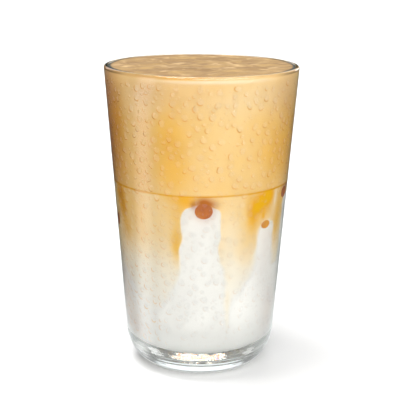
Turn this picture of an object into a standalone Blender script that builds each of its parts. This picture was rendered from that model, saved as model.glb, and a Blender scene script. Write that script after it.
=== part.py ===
"""A frappe coffee in a tall glass: a clear tumbler filled to the brim.

The pieces are the turned glass, the white milk that stands in it in columns and hills,
the milk coloured with coffee above it, the deep layer of coffee foam, and the dark
beads of coffee that lie against the glass.

Units are metres, +Z is up, and the origin is the centre of the foot on the table. The
side that faces the viewer is -Y. An azimuth is in degrees from there towards +X.
"""

from math import cos, hypot, pi, radians, sin

import bmesh
import bpy
import numpy as np
from mathutils import Vector

# Glass
GLASS_HEIGHT = 0.135
RIM_RADIUS = 0.0425
FOOT_RADIUS = 0.0323  # where the line of the outer wall meets the table
WALL_AT_RIM = 0.0022
WALL_AT_FOOT = 0.0028
BASE_THICKNESS = 0.0097
HEEL_IN, HEEL_UP = 0.0115, 0.0140  # how far the outer rounding at the foot reaches
BOWL_IN, BOWL_UP = 0.0175, 0.0190  # the same for the rounding inside
RING_INNER_RADIUS = 0.0185  # the glass stands on the ring from here out to the heel
PUNT_HEIGHT = 0.0015  # the hollow under the foot
GLASS_SEGMENTS = 96
LIP_STEPS, HEEL_STEPS, BOWL_STEPS, PUNT_STEPS = 6, 6, 7, 4

# Drink
LAYER_HEIGHT = 0.0848  # the level line between the coffee milk and the foam
FOAM_HEIGHT = 0.1346  # the middle of the foam's top, just under the rim
STREAK_DEPTH = 0.00022  # how far the foam's streaks rise or sink
MENISCUS_RISE = 0.0001  # how far the foam creeps up at the glass
GAP = 0.0003  # between two pieces that touch
DRINK_SEGMENTS = 96
FOAM_RINGS = 13
STEEP_SHARE = 0.25  # how strongly steep milk edges draw the drink's segments together

# Milk: each rise is its azimuth, its height, and its half width at the top and the foot
MILK_FLOOR = 0.0290  # the lowest that the milk's top comes
MILK_MIDDLE = 0.0320  # its height on the axis, which nothing shows
MILK_RISES = {
    "front column": (0.2, 0.0806, 12.4, 14.2),
    "front column skirt": (1, 0.0600, 10.0, 30.0),
    "right column": (51.5, 0.0708, 8.5, 11.0),
    "right edge column": (81, 0.0790, 8.0, 10.5),
    "right hill": (70, 0.0486, 30.0, 47.0),
    "left hill": (-80, 0.0450, 18.0, 34.0),
    "back column": (158, 0.0770, 9.0, 11.0),
    "back column skirt": (158, 0.0560, 8.0, 28.0),
    "back left column": (-128, 0.0690, 7.0, 9.5),
    "back left hill": (-138, 0.0500, 22.0, 44.0),
}
SHOULDER_DROP = 0.0022  # how far a rise's top rounds down towards its edge
PLUME_INNER, PLUME_OUTER = 0.50, 0.93  # shares of the radius where rises begin and stand full
MILK_RINGS = (0.28, PLUME_INNER, 0.62, 0.73, 0.82, 0.89, 0.95, 1.0)  # the same, for its rings

# Coffee beads: azimuth, height of the middle, half width, half height, depth from the glass
COFFEE_BEADS = (
    (2.1, 0.0784, 0.0037, 0.0033, 0.0026),
    (49.8, 0.0696, 0.0027, 0.0018, 0.0018),
    (-77.6, 0.0676, 0.0024, 0.0028, 0.0020),
    (72.5, 0.0812, 0.0032, 0.0025, 0.0020),
    (152.0, 0.0745, 0.0024, 0.0025, 0.0022),
    (-131.0, 0.0670, 0.0018, 0.0020, 0.0017),
)
BEAD_SIDES = 14
BEAD_FACE_RINGS = (0.72, 0.36)  # shares of the bead's size, on its face against the glass
BEAD_DOME_STEPS = 3
POCKET_REACH = 0.0008  # how far a bead's cutter stands out past the drink's side

# Colours: red, green, blue, then roughness
FINISHES = {
    "glass": ((0.93, 0.97, 0.97), 0.03),
    "milk": ((0.93, 0.90, 0.84), 0.45),
    "coffee_milk": ((0.93, 0.74, 0.46), 0.45),
    "foam": ((0.90, 0.62, 0.28), 0.60),
    "coffee": ((0.33, 0.11, 0.02), 0.25),
}
GLASS_ALPHA = 0.3


def outer_radius(height):
    """Outer wall of the glass: a straight cone up to the middle of the rounded lip."""
    lip_middle = GLASS_HEIGHT - WALL_AT_RIM / 2
    return FOOT_RADIUS + (RIM_RADIUS - FOOT_RADIUS) * height / lip_middle


def inner_radius(height):
    """Inner wall: the outer one less a wall that thins evenly from foot to rim."""
    lip_middle = GLASS_HEIGHT - WALL_AT_RIM / 2
    wall = WALL_AT_FOOT + (WALL_AT_RIM - WALL_AT_FOOT) * height / lip_middle
    return outer_radius(height) - wall


def drink_radius(height):
    """Side of the drink, a gap inside the glass."""
    return inner_radius(height) - GAP


def rounding(start, corner, end, steps):
    """Curve from start to end that leaves and arrives along the lines to the corner.

    A cubic curve whose handles reach 0.5523 of the way to the corner is nearly a
    quarter of an ellipse.
    """
    reach = 0.5523
    start, corner, end = (np.array(point) for point in (start, corner, end))
    t = np.linspace(0.0, 1.0, steps + 1)[:, None]
    first = start + reach * (corner - start)
    second = end + reach * (corner - end)
    near_start = (1 - t) ** 3 * start + 3 * (1 - t) ** 2 * t * first
    near_end = 3 * (1 - t) * t**2 * second + t**3 * end
    return [tuple(point) for point in near_start + near_end]


def bowl_profile(radius_at, floor_height):
    """Inside of the glass or outside of the drink: wall, rounding and floor, from the top down."""
    start = (radius_at(floor_height + BOWL_UP), floor_height + BOWL_UP)
    corner = (radius_at(floor_height), floor_height)
    end = (corner[0] - BOWL_IN, floor_height)
    return rounding(start, corner, end, BOWL_STEPS)


def smooth_step(value, low, high):
    """0 below low, 1 above high, and a smooth S between them."""
    share = np.clip((value - low) / (high - low), 0.0, 1.0)
    return share * share * (3 - 2 * share)


def turn_difference(azimuth, other):
    """Angle between two azimuths, 0 to 180 degrees."""
    return np.abs((azimuth - other + 180.0) % 360.0 - 180.0)


def milk_height(azimuth):
    """Top of the milk at the glass: the highest of its rises at that azimuth."""
    height = np.full_like(azimuth, MILK_FLOOR)
    for middle, top, half_top, half_foot in MILK_RISES.values():
        away = turn_difference(azimuth, middle)
        shoulder = top - SHOULDER_DROP * np.minimum(away / half_top, 1.0) ** 4
        rise = (shoulder - MILK_FLOOR) * (1 - smooth_step(away, half_top, half_foot))
        height = np.maximum(height, MILK_FLOOR + rise)
    return height


def drink_azimuths():
    """Azimuths of the drink's segments, closer together where the milk's edge is steep."""
    dense = np.linspace(-180.0, 180.0, 3601)
    along = drink_radius(LAYER_HEIGHT) * np.radians(np.diff(dense))
    up = STEEP_SHARE * np.diff(milk_height(dense))
    length = np.concatenate([[0.0], np.cumsum(np.hypot(along, up))])
    wanted = np.linspace(0.0, length[-1], DRINK_SEGMENTS + 1)[:-1]
    return np.interp(wanted, length, dense)


def foam_relief(x, y):
    """Height of the foam's top above its middle level: long shallow streaks that bend."""
    bend = 0.004 * np.sin(2 * pi * x / 0.046 + 0.6)
    streaks = np.sin(2 * pi * (y + bend) / 0.0135 + 0.8)
    ripples = 0.5 * np.sin(2 * pi * (y - 0.4 * x + bend) / 0.0098 + 2.1)
    reach = np.hypot(x, y) / drink_radius(GLASS_HEIGHT)
    calm = 1 - smooth_step(reach, 0.80, 0.96)
    return STREAK_DEPTH * (streaks + ripples) / 1.5 * calm + MENISCUS_RISE * smooth_step(reach, 0.93, 1.0)


def place(azimuth, radius, height):
    """Point at an azimuth in degrees from the front, a radius and a height."""
    turn = radians(azimuth)
    return Vector((radius * sin(turn), -radius * cos(turn), height))


def add_ring(mesh, azimuths, radii, heights):
    """Ring of points, with one radius or height for all of them or one for each."""
    radii = np.broadcast_to(radii, azimuths.shape)
    heights = np.broadcast_to(heights, azimuths.shape)
    return [mesh.verts.new(place(*point)) for point in zip(azimuths, radii, heights)]


def join_rings(mesh, lower, upper):
    """Band of triangles between two rings of equally many points."""
    for i, point in enumerate(lower):
        j = (i + 1) % len(lower)
        mesh.faces.new((point, lower[j], upper[j]))
        mesh.faces.new((point, upper[j], upper[i]))


def join_centre(mesh, ring, centre):
    """Fan of triangles from a ring to one point."""
    for i, point in enumerate(ring):
        mesh.faces.new((point, ring[(i + 1) % len(ring)], centre))


def finish(name, mesh, material, parent):
    """Object with the mesh, its faces turned outwards, shaded smooth away from its edges."""
    bmesh.ops.recalc_face_normals(mesh, faces=mesh.faces)
    data = bpy.data.meshes.new(name)
    mesh.to_mesh(data)
    mesh.free()
    data.materials.append(material)
    data.shade_smooth()
    data.set_sharp_from_angle(angle=radians(40))
    thing = bpy.data.objects.new(name, data)
    thing.parent = parent
    bpy.context.scene.collection.objects.link(thing)
    return thing


def make_material(name):
    """Principled finish of that name."""
    colour, roughness = FINISHES[name]
    material = bpy.data.materials.new(name)
    material.use_nodes = True
    shader = material.node_tree.nodes["Principled BSDF"]
    shader.inputs["Base Color"].default_value = (*colour, 1.0)
    shader.inputs["Roughness"].default_value = roughness
    shader.inputs["Metallic"].default_value = 0.0
    return material


def make_glass(parent):
    """Tumbler: one closed profile, spun round the axis."""
    lip = WALL_AT_RIM / 2
    turns = [pi * step / LIP_STEPS for step in range(LIP_STEPS + 1)]
    lip_arc = [(RIM_RADIUS - lip + lip * cos(t), GLASS_HEIGHT - lip + lip * sin(t)) for t in turns]
    floor_centre = [(0.0, BASE_THICKNESS)]
    inside = lip_arc + bowl_profile(inner_radius, BASE_THICKNESS) + floor_centre
    heel_top = (outer_radius(HEEL_UP), HEEL_UP)
    heel_end = (FOOT_RADIUS - HEEL_IN, 0.0)
    heel = rounding(heel_top, (FOOT_RADIUS, 0.0), heel_end, HEEL_STEPS)
    punt_radii = RING_INNER_RADIUS * np.linspace(1.0, 0.0, PUNT_STEPS + 1)
    punt = [(r, PUNT_HEIGHT * (1 - (r / RING_INNER_RADIUS) ** 2)) for r in punt_radii]
    outside = heel + punt

    mesh = bmesh.new()
    points = [mesh.verts.new((r, 0.0, z)) for r, z in inside[::-1] + outside]
    edges = [mesh.edges.new(pair) for pair in zip(points, points[1:])]
    bmesh.ops.spin(
        mesh, geom=points + edges, cent=(0, 0, 0), axis=(0, 0, 1),
        angle=2 * pi, steps=GLASS_SEGMENTS, use_merge=True,
    )
    bmesh.ops.remove_doubles(mesh, verts=mesh.verts, dist=1e-6)
    material = make_material("glass")
    material.node_tree.nodes["Principled BSDF"].inputs["Alpha"].default_value = GLASS_ALPHA
    return finish("glass", mesh, material, parent)


def milk_top(azimuths):
    """Open surface where the milk meets the coffee milk, and its ring at the glass.

    At the glass it stands at milk_height. Inwards the rises fade to one level.
    """
    mesh = bmesh.new()
    centre = mesh.verts.new((0.0, 0.0, MILK_MIDDLE))
    at_glass = milk_height(azimuths)
    rings = []
    for share in MILK_RINGS:
        fade = smooth_step(share, PLUME_INNER, PLUME_OUTER)
        heights = MILK_MIDDLE + (at_glass - MILK_MIDDLE) * fade
        rings.append(add_ring(mesh, azimuths, share * drink_radius(heights), heights))
    join_centre(mesh, rings[0][::-1], centre)
    for inner, outer in zip(rings, rings[1:]):
        join_rings(mesh, outer, inner)
    bmesh.ops.recalc_face_normals(mesh, faces=mesh.faces)
    if centre.normal.z < 0:
        bmesh.ops.reverse_faces(mesh, faces=mesh.faces)
    mesh.normal_update()
    return mesh, rings[-1]


def make_milk(azimuths, parent):
    """White milk: its top surface, closed below by a bowl that follows the glass."""
    mesh, rim = milk_top(azimuths)
    floor = BASE_THICKNESS + GAP
    lower = rim
    for radius, height in bowl_profile(drink_radius, floor):
        ring = add_ring(mesh, azimuths, radius, height)
        join_rings(mesh, ring, lower)
        lower = ring
    join_centre(mesh, lower, mesh.verts.new((0.0, 0.0, floor)))
    return finish("milk", mesh, make_material("milk"), parent)


def make_coffee_milk(azimuths, parent):
    """Milk coloured with coffee: from a gap above the milk up to the level line."""
    mesh, rim = milk_top(azimuths)
    lifts = [point.normal * GAP * point.calc_shell_factor() for point in mesh.verts]
    for point, lift in zip(mesh.verts, lifts):
        point.co += lift
    for point in rim:
        point.co.xy *= drink_radius(point.co.z) / hypot(point.co.x, point.co.y)
    top = LAYER_HEIGHT - GAP / 2
    upper = add_ring(mesh, azimuths, drink_radius(top), top)
    join_rings(mesh, rim, upper)
    mesh.faces.new(upper)
    return finish("coffee_milk", mesh, make_material("coffee_milk"), parent)


def make_foam(parent):
    """Coffee foam: a straight-sided plug with streaks on its top."""
    azimuths = np.linspace(-180.0, 180.0, DRINK_SEGMENTS, endpoint=False)
    mesh = bmesh.new()
    bottom = LAYER_HEIGHT + GAP / 2
    lower = add_ring(mesh, azimuths, drink_radius(bottom), bottom)
    mesh.faces.new(lower)
    top_radius = drink_radius(FOAM_HEIGHT)
    turns = np.radians(azimuths)
    for share in np.linspace(1.0, 0.0, FOAM_RINGS + 1)[:-1]:
        radius = share * top_radius
        heights = FOAM_HEIGHT + foam_relief(radius * np.sin(turns), -radius * np.cos(turns))
        upper = add_ring(mesh, azimuths, radius, heights)
        join_rings(mesh, lower, upper)
        lower = upper
    middle = FOAM_HEIGHT + float(foam_relief(0.0, 0.0))
    join_centre(mesh, lower, mesh.verts.new((0.0, 0.0, middle)))
    return finish("foam", mesh, make_material("foam"), parent)


def bead_mesh(bead, grow, stand_out):
    """Drop flattened against the glass: an oval on the drink's side, domed inwards.

    grow widens it all round, and stand_out moves its face out past the drink's side.
    """
    azimuth, middle, half_width, half_height, depth = bead
    mesh = bmesh.new()
    turns = np.linspace(0.0, 2 * pi, BEAD_SIDES, endpoint=False)

    def oval(share, inwards):
        height = middle + (half_height + grow) * share * np.sin(turns)
        side = drink_radius(height)
        around = azimuth + np.degrees((half_width + grow) * share * np.cos(turns) / side)
        return add_ring(mesh, around, side - inwards, height)

    face = edge = oval(1.0, -stand_out)
    for share in BEAD_FACE_RINGS:
        inner = oval(share, -stand_out)
        join_rings(mesh, face, inner)
        face = inner
    join_centre(mesh, face, mesh.verts.new(place(azimuth, drink_radius(middle) + stand_out, middle)))
    dome = edge
    if stand_out > 0:
        dome = oval(1.0, 0.0)
        join_rings(mesh, edge, dome)
    for step in range(1, BEAD_DOME_STEPS):
        turn = pi / 2 * step / BEAD_DOME_STEPS
        inner = oval(cos(turn), (depth + grow) * sin(turn))
        join_rings(mesh, dome, inner)
        dome = inner
    deepest = place(azimuth, drink_radius(middle) - depth - grow, middle)
    join_centre(mesh, dome, mesh.verts.new(deepest))
    return mesh


def make_beads(drinks, parent):
    """Coffee beads, each in a pocket that its cutter takes out of the drink around it."""
    coffee = make_material("coffee")
    for number, bead in enumerate(COFFEE_BEADS, start=1):
        finish(f"coffee_bead_{number}", bead_mesh(bead, 0.0, 0.0), coffee, parent)
        cutter = finish(f"bead_pocket_{number}", bead_mesh(bead, GAP, POCKET_REACH), coffee, parent)
        cutter.hide_render = True
        cutter.display_type = "WIRE"
        for drink in drinks:
            pocket = drink.modifiers.new(f"pocket {number}", "BOOLEAN")
            pocket.operation = "DIFFERENCE"
            pocket.solver = "EXACT"
            pocket.object = cutter


def main():
    for thing in list(bpy.data.objects):
        bpy.data.objects.remove(thing)
    base = bpy.data.objects.new("frappe_coffee", None)
    bpy.context.scene.collection.objects.link(base)
    azimuths = drink_azimuths()
    make_glass(base)
    milk = make_milk(azimuths, base)
    coffee_milk = make_coffee_milk(azimuths, base)
    make_foam(base)
    make_beads((milk, coffee_milk), base)


main()
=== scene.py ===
# %% [markdown]
# # A frappe coffee in a tall glass
#
# This notebook dresses a finished solid model. The solids say where everything is and
# how big it is: a tumbler, white milk standing in it in columns and hills, milk tinted
# with coffee above, a deep layer of coffee foam, and beads of dark coffee against the
# glass. Here each of them gets the surface that the eye expects: clear glass with a
# rounded lip and a heavy foot, a soft blend of milk and coffee, fine foam, and the dew
# that a cold drink draws out of the air.
#
# Everything is in metres, +Z is up, and the viewer stands at -Y. An azimuth is the
# angle round the axis from the viewer's side, positive towards +X.

import bpy
import numpy as np
from mathutils import Matrix, Vector


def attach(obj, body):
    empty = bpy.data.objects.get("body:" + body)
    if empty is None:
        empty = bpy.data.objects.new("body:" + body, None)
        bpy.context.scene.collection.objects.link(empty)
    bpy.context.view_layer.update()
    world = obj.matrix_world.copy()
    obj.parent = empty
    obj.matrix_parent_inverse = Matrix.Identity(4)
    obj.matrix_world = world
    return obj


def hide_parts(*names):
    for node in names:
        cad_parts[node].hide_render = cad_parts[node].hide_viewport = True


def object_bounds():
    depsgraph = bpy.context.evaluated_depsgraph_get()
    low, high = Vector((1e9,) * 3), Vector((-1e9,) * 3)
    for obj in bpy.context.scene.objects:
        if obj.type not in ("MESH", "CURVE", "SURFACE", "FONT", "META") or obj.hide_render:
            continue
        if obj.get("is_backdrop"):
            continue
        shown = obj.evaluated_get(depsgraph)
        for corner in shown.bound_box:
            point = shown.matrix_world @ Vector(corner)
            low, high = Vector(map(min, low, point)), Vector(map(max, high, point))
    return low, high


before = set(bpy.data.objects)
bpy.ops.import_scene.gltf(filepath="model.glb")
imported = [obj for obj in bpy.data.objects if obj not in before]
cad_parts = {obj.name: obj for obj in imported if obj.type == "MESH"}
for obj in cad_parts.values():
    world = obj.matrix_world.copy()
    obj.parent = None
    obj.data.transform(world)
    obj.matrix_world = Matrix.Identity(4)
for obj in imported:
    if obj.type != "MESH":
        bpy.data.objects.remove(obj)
solid_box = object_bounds()
print("solids:", sorted(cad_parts))

# %% [markdown]
# ## The glass's measures
#
# A tumbler is pressed or blown in a mould that opens upwards, so its walls are straight
# cones: a little wider at the rim, and thicker towards the foot. The same few sizes as
# in the solid model are named here, and every profile below is worked out from them.
# The drink has to follow the inside of the wall exactly, so the wall is a function.

# %% Glass sizes and walls
GLASS_HEIGHT = 0.135
RIM_RADIUS = 0.0425
FOOT_RADIUS = 0.0323
WALL_AT_RIM = 0.0022
WALL_AT_FOOT = 0.0028
BASE_THICKNESS = 0.0097
HEEL_IN, HEEL_UP = 0.0115, 0.0140
BOWL_IN, BOWL_UP = 0.0175, 0.0190
RING_INNER_RADIUS = 0.0185
PUNT_HEIGHT = 0.0015
LIP_RADIUS = WALL_AT_RIM / 2
LIP_MIDDLE = GLASS_HEIGHT - LIP_RADIUS


def outer_radius(height):
    """Outer wall: a straight line from the foot radius up to the rim radius."""
    return FOOT_RADIUS + (RIM_RADIUS - FOOT_RADIUS) * height / LIP_MIDDLE


def inner_radius(height):
    """Inner wall: the outer one less a wall that thins evenly upwards.

    Above the middle of the lip it opens along the lip's circle.
    """
    wall = WALL_AT_FOOT + (WALL_AT_RIM - WALL_AT_FOOT) * height / LIP_MIDDLE
    straight = outer_radius(height) - wall
    over = np.clip(height - LIP_MIDDLE, 0.0, LIP_RADIUS)
    return straight + (LIP_RADIUS - np.sqrt(LIP_RADIUS**2 - over**2))


def smooth(value, low, high):
    """0 below low, 1 above high and an S between them: 3t^2 - 2t^3."""
    t = np.clip((value - low) / (high - low), 0.0, 1.0)
    return t * t * (3 - 2 * t)


print(f"inner radius at the rim {inner_radius(GLASS_HEIGHT - 0.004) * 1000:.1f} mm")

# %% [markdown]
# ## One helper for every closed shape
#
# A glass, a body of milk, a coffee bead and a drop of dew are all the same kind of
# surface: a net of rows and columns, where each row closes on itself and the first and
# last rows have shrunk to a point. So one function takes such a net as an array of
# points and makes the mesh, with one vertex at each pole. Spinning a curve with a
# modifier would also do for the glass, but not for milk whose edge is uneven.

# %% Net to mesh
ROOT = "root"


def net_faces(rows, columns):
    """Faces of a net whose first and last rows are poles, as lists of vertex numbers.

    Vertex 0 is the first pole, then row by row, and the last pole comes last. Every
    quad joins a column to the next one, and the last column to the first.
    """
    ring = np.arange(columns)
    after = (ring + 1) % columns
    start = 1 + columns * np.arange(rows - 3)[:, None]
    quads = np.stack([start + ring, start + after, start + columns + after, start + columns + ring], -1)
    first = np.stack([np.zeros_like(ring), 1 + after, 1 + ring], -1)
    base = 1 + columns * (rows - 3)
    last = np.stack([base + ring, base + after, np.full_like(ring, base + columns)], -1)
    return first, quads.reshape(-1, 4), last


def net_points(net):
    """The net's points with each pole kept once."""
    return np.concatenate([net[0, :1], net[1:-1].reshape(-1, net.shape[-1]), net[-1, :1]])


def enclosed_volume(points, faces):
    """Sum over the faces of the corner products a . (b x c) / 6, fanned from each first corner."""
    total = 0.0
    for group in faces:
        for k in range(1, group.shape[1] - 1):
            a, b, c = points[group[:, 0]], points[group[:, k]], points[group[:, k + 1]]
            total += np.einsum("ij,ij->i", a, np.cross(b, c)).sum() / 6
    return total


def new_piece(name, points, faces, sharp_above):
    """Object at the origin with that mesh, facing outwards, shaded smooth but for its edges."""
    volume = enclosed_volume(points, faces)
    if volume < 0:
        faces = [group[:, ::-1] for group in faces]
    mesh = bpy.data.meshes.new(name)
    mesh.from_pydata(points.tolist(), [], [face for group in faces for face in group.tolist()])
    mesh.shade_smooth()
    mesh.set_sharp_from_angle(angle=np.radians(sharp_above))
    piece = bpy.data.objects.new(name, mesh)
    bpy.context.scene.collection.objects.link(piece)
    print(f"{name}: {len(mesh.polygons)} faces, {abs(volume) * 1e6:.2f} cm3")
    return piece


def net_piece(name, net, sharp_above=50):
    """Piece from a net of points."""
    return new_piece(name, net_points(net), net_faces(*net.shape[:2]), sharp_above)


def keep_numbers(piece, name, values):
    """Keep a number for each of the piece's points, under a name that its finish reads."""
    attribute = piece.data.attributes.new(name, "FLOAT", "POINT")
    attribute.data.foreach_set("value", np.asarray(values, np.float32).ravel())
    print(f"{piece.name}.{name}: {np.min(values):.2f} to {np.max(values):.2f}")


def around(radius, azimuth, height):
    """Points at a radius, an azimuth in radians from the viewer's side, and a height."""
    radius, azimuth, height = np.broadcast_arrays(radius, azimuth, height)
    return np.stack([radius * np.sin(azimuth), -radius * np.cos(azimuth), height], -1)


# %% [markdown]
# ## The glass
#
# The profile starts under the foot at the axis, runs out over the hollow and the ring
# that the glass stands on, up the rounded heel and the wall, over the lip and down the
# inside. A rounding between two straight runs is a cubic curve whose handles point at
# the corner, so it leaves each run without a kink, which a quarter circle against a
# slanting wall would not. The lip is half a circle with its crown a hair lower.
# Pressed glass is never quite even: the heel has a few waves a twentieth of a
# millimetre deep, and they break up what is seen through it. Under the heel the mould
# is cut with fine radial ribs, so that a wet glass does not stick to the table.

# %% Glass profile and mesh
GLASS_COLUMNS = 600
HOLLOW_STEPS, RING_STEPS, HEEL_STEPS, LIP_STEPS = 12, 3, 63, 18
WALL_STEPS, BOWL_STEPS, FLOOR_STEPS = 14, 28, 7
HANDLE = 0.5523  # at a right angle, as round as a circle
CROWN_LOWERED = 0.00012
HEEL_WAVES = 11
HEEL_WAVE_DEPTH = 0.00005
WAVES_BEGIN, WAVES_END = (0.55, 0.70), (0.86, 0.98)  # shares of the way up the heel
RIBS = 120
RIB_DEPTH = 0.00012
RIB_INNER, RIB_OUTER = (0.0195, 0.0205), (0.0250, 0.0290)  # radii where they begin and end


def rounding(start, corner, end, steps):
    """Cubic curve from start to end with both handles the same share of the way to the corner."""
    start, corner, end = (np.array(point, float) for point in (start, corner, end))
    t = np.linspace(0, 1, steps + 1)[:, None]
    one, two = start + HANDLE * (corner - start), end + HANDLE * (corner - end)
    return (1 - t) ** 3 * start + 3 * (1 - t) ** 2 * t * one + 3 * (1 - t) * t**2 * two + t**3 * end


def waved(curve):
    """The heel sinks in by depth * (1 - cos) / 2 in rings, fading out at both ends."""
    t = np.linspace(0, 1, len(curve))
    along = np.gradient(curve, axis=0)
    inwards = np.stack([-along[:, 1], along[:, 0]], 1) / np.hypot(*along.T)[:, None]
    fade = smooth(t, *WAVES_BEGIN) * (1 - smooth(t, *WAVES_END))
    dent = HEEL_WAVE_DEPTH * fade * (0.5 - 0.5 * np.cos(2 * np.pi * HEEL_WAVES * t))
    return curve + inwards * dent[:, None]


def bowl(radius_at, floor):
    """Inside of the glass from the wall down its rounding to the flat floor."""
    corner = (radius_at(floor), floor)
    top = (radius_at(floor + BOWL_UP), floor + BOWL_UP)
    return rounding(top, corner, (corner[0] - BOWL_IN, floor), BOWL_STEPS)


def run(start, end, steps):
    """Even steps along a straight line, without its last point."""
    return np.linspace(start, end, steps + 1)[:-1]


def glass_profile():
    """Radius and height from under the foot's centre, round the outside and in to the floor."""
    hollow_r = run(0, RING_INNER_RADIUS, HOLLOW_STEPS)
    hollow = np.stack([hollow_r, PUNT_HEIGHT * (1 - (hollow_r / RING_INNER_RADIUS) ** 2)], 1)
    ring = run((RING_INNER_RADIUS, 0), (FOOT_RADIUS - HEEL_IN, 0), RING_STEPS)
    heel_top = (outer_radius(HEEL_UP), HEEL_UP)
    heel = waved(rounding((FOOT_RADIUS - HEEL_IN, 0), (FOOT_RADIUS, 0), heel_top, HEEL_STEPS))
    turn = np.linspace(0, np.pi, LIP_STEPS + 1)
    lowered = CROWN_LOWERED * np.sin(turn) ** 2
    lip_r = RIM_RADIUS - LIP_RADIUS + LIP_RADIUS * np.cos(turn)
    lip = np.stack([lip_r, LIP_MIDDLE + (LIP_RADIUS - lowered) * np.sin(turn)], 1)
    outside = run(heel_top, (outer_radius(LIP_MIDDLE), LIP_MIDDLE), WALL_STEPS)[1:]
    inner_bowl = bowl(inner_radius, BASE_THICKNESS)
    inside = run((inner_radius(LIP_MIDDLE), LIP_MIDDLE), inner_bowl[0], WALL_STEPS)[1:]
    floor = run((0, BASE_THICKNESS), inner_bowl[-1], FLOOR_STEPS)[::-1]
    return np.concatenate([hollow, ring, heel, outside, lip, inside, inner_bowl, floor])


def ribbed(net):
    """Radial ribs: underneath, the heel is cut by depth * (1 - cos) / 2 between the band's radii."""
    radius = np.hypot(net[..., 0], net[..., 1])
    azimuth = np.arctan2(net[..., 0], -net[..., 1])
    underneath = net[..., 2] < HEEL_UP / 2
    band = smooth(radius, *RIB_INNER) * (1 - smooth(radius, *RIB_OUTER)) * underneath
    net[..., 2] += RIB_DEPTH * band * (0.5 - 0.5 * np.cos(RIBS * azimuth))
    return net


profile = glass_profile()
glass_azimuth = 2 * np.pi * np.arange(GLASS_COLUMNS)[None] / GLASS_COLUMNS
glass = net_piece("tumbler", ribbed(around(profile[:, :1], glass_azimuth, profile[:, 1:])))
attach(glass, ROOT)
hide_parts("glass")

# %% [markdown]
# ## Where the milk stands
#
# Cold milk poured under coffee does not lie level. It rises against the glass in
# columns and hills, and coffee runs down between them. The height of the milk at the
# glass is the highest of a handful of named rises, each with a rounded top and steep
# sides. Inside, where nobody sees, the rises fade to one level.

# %% Height of the milk round the glass
LAYER_HEIGHT = 0.0848
MILK_FLOOR = 0.0290
MILK_MIDDLE = 0.0320
SHOULDER_DROP = 0.0022
PLUME_INNER, PLUME_OUTER = 0.50, 0.93
# azimuth in degrees, height in metres, half width at the top and at the foot in degrees
MILK_RISES = {
    "front column": (0.2, 0.0806, 12.4, 14.2),
    "front column skirt": (1, 0.0600, 10.0, 30.0),
    "right column": (51.5, 0.0708, 8.5, 11.0),
    "right edge column": (81, 0.0790, 8.0, 10.5),
    "right hill": (70, 0.0486, 30.0, 47.0),
    "left hill": (-80, 0.0450, 18.0, 34.0),
    "back column": (158, 0.0770, 9.0, 11.0),
    "back column skirt": (158, 0.0560, 8.0, 28.0),
    "back left column": (-128, 0.0690, 7.0, 9.5),
    "back left hill": (-138, 0.0500, 22.0, 44.0),
}


def apart(azimuth, other):
    """Degrees between azimuths, 0 to 180; azimuth is in radians, other in degrees."""
    return np.abs((np.degrees(azimuth) - other + 180) % 360 - 180)


def milk_height(azimuth):
    """Highest rise there: its top, rounded by the fourth power, then an S down to the foot."""
    height = np.full_like(azimuth, MILK_FLOOR)
    for middle, top, half_top, half_foot in MILK_RISES.values():
        away = apart(azimuth, middle)
        shoulder = top - SHOULDER_DROP * np.minimum(away / half_top, 1) ** 4
        rise = (shoulder - MILK_FLOOR) * (1 - smooth(away, half_top, half_foot))
        height = np.maximum(height, MILK_FLOOR + rise)
    return height


# %% [markdown]
# ## The two bodies of milk
#
# Glass hides where it ends: seen through a wall, the drink seems to fill the glass to
# its very edge, because the wall bends the light. That only comes out right if no air
# is left between drink and glass. So each body reaches a fifth of a millimetre into
# the wall. The net of the white milk runs from the floor's centre up the wall to the
# uneven edge and in over the top, and the coffee milk starts from that same edge.

# %% White milk and coffee milk
DRINK_COLUMNS = 540
MILK_ROWS, COFFEE_ROWS, TOP_ROWS, LID_ROWS = 89, 129, 12, 5
EDGE_SAMPLES = 7201
STEEP_SHARE = 0.25  # how strongly steep edges of the milk draw the columns together
WALL_REACH = 0.0002


def drink_radius(height):
    """The inner wall, moved a fifth of a millimetre into the glass."""
    return inner_radius(height) + WALL_REACH


def drink_columns():
    """Azimuths of the net's columns: even steps along arc + share * climb of the milk's edge."""
    dense = np.linspace(-np.pi, np.pi, EDGE_SAMPLES)
    along = drink_radius(LAYER_HEIGHT) * np.diff(dense)
    climb = STEEP_SHARE * np.diff(milk_height(dense))
    length = np.concatenate([[0.0], np.cumsum(np.hypot(along, climb))])
    wanted = np.linspace(0.0, length[-1], DRINK_COLUMNS + 1)[:-1]
    return np.interp(wanted, length, dense)[None]


def milk_top(azimuth):
    """Top of the white milk, from the glass in to the axis."""
    share = np.concatenate([np.linspace(1, PLUME_INNER, TOP_ROWS), [PLUME_INNER / 2, 0.0]])[:, None]
    fade = smooth(share, PLUME_INNER, PLUME_OUTER)
    height = MILK_MIDDLE + (milk_height(azimuth) - MILK_MIDDLE) * fade
    return around(share * drink_radius(height), azimuth, height)


def milk_net(azimuth):
    """Floor, bowl, wall up to the milk's edge, then its top."""
    floor = BASE_THICKNESS - WALL_REACH
    wall_bowl = bowl(drink_radius, floor)[::-1]
    low = np.concatenate([[[0, floor], [wall_bowl[0, 0] / 2, floor]], wall_bowl])
    rising = np.linspace(0, 1, MILK_ROWS + 1)[1:-1, None]
    height = low[-1, 1] + (milk_height(azimuth) - low[-1, 1]) * rising
    wall = around(drink_radius(height), azimuth, height)
    return np.concatenate([around(low[:, :1], azimuth, low[:, 1:]), wall, milk_top(azimuth)])


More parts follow.
